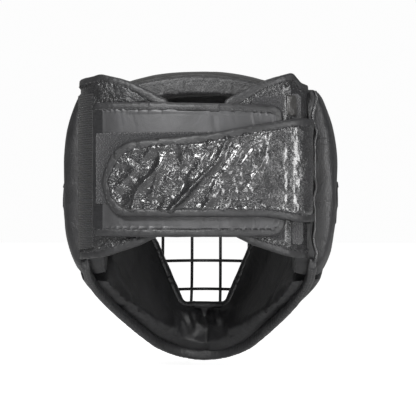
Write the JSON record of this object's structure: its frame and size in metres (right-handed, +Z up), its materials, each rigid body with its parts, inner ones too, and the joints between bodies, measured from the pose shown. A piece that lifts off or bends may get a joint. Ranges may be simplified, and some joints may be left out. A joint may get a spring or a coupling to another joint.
{
  "type": "boxing headgear",
  "caption": "Padded leather head guard with a wire face cage, closed at the back by a wide panel and a peel-back hook-and-loop strap.",
  "frame": {"origin": "centre of the head cavity, level with the ears, where the wearer's head sits", "axes": "+Z up through the crown, +Y out of the face, +X to the wearer's right"},
  "size_m": [0.2406, 0.2767, 0.2667],
  "materials": {
    "cover_leather": "pebbled black leather",
    "smooth_leather": "smooth semi-matte black leather",
    "glossy_leather": "glossy creased black leather",
    "binding_leather": "rolled black binding with stitches",
    "lining": "thin soft black lining",
    "foam": "closed-cell foam",
    "woven": "ribbed woven elastic and tape",
    "loop": "loop fabric",
    "hook": "hook tape",
    "cage_wire": "black coated steel wire",
    "plated_steel": "plated steel"
  },
  "bodies": {
    "shell": {"forehead_cover": "cover_leather", "forehead_foam": "foam", "forehead_lining": "lining", "left_side_cover": "cover_leather", "left_side_foam": "foam", "left_side_lining": "lining", "right_side_cover": "cover_leather", "right_side_foam": "foam", "right_side_lining": "lining", "left_cheek_cover": "cover_leather", "left_cheek_foam": "foam", "left_cheek_lining": "lining", "right_cheek_cover": "cover_leather", "right_cheek_foam": "foam", "right_cheek_lining": "lining", "chin_cover": "cover_leather", "chin_foam": "foam", "chin_lining": "lining", "crown_cover": "smooth_leather", "crown_foam": "foam", "crown_lining": "lining", "crown_binding": "binding_leather", "jaw_binding": "binding_leather", "face_opening_binding": "binding_leather", "left_ear_sleeve": "lining", "right_ear_sleeve": "lining", "left_ear_vent": "smooth_leather", "right_ear_vent": "smooth_leather", "left_ear_eyelets": "plated_steel", "right_ear_eyelets": "plated_steel", "left_wing": "glossy_leather", "right_wing": "glossy_leather", "left_wing_binding": "binding_leather", "right_wing_binding": "binding_leather", "elastic_strip": "woven", "right_wing_loop_patch": "loop", "blank_tag": "woven", "closure_strap_root": "glossy_leather", "cage_rim": "cage_wire", "cage_rows": "cage_wire", "cage_columns": "cage_wire", "cage_clips": "cage_wire", "clip_screws": "plated_steel", "clip_washers": "plated_steel", "clip_tee_nuts": "plated_steel"},
    "rear_panel": {"rear_panel": "smooth_leather", "rear_panel_binding": "binding_leather", "rear_panel_loop_field": "loop", "rear_panel_hook_patch": "hook"},
    "closure_strap": {"closure_strap": "glossy_leather", "closure_strap_binding": "binding_leather", "closure_strap_hook_patch": "hook"}
  },
  "joints": [
    {"name": "strap_peel", "type": "hinge", "parent": "shell", "child": "closure_strap", "pos_m": [0.0941, -0.075, 0.03], "axis": [0, 0, 1], "range_deg": [0, 125]},
    {"name": "panel_open", "type": "hinge", "parent": "shell", "child": "rear_panel", "pos_m": [-0.0815, -0.1001, 0.03], "axis": [0, 0, -1], "range_deg": [0, 25]}
  ],
  "couplings": [
    {"joint": "panel_open", "follows": "strap_peel", "ratio": 0.2}
  ]
}
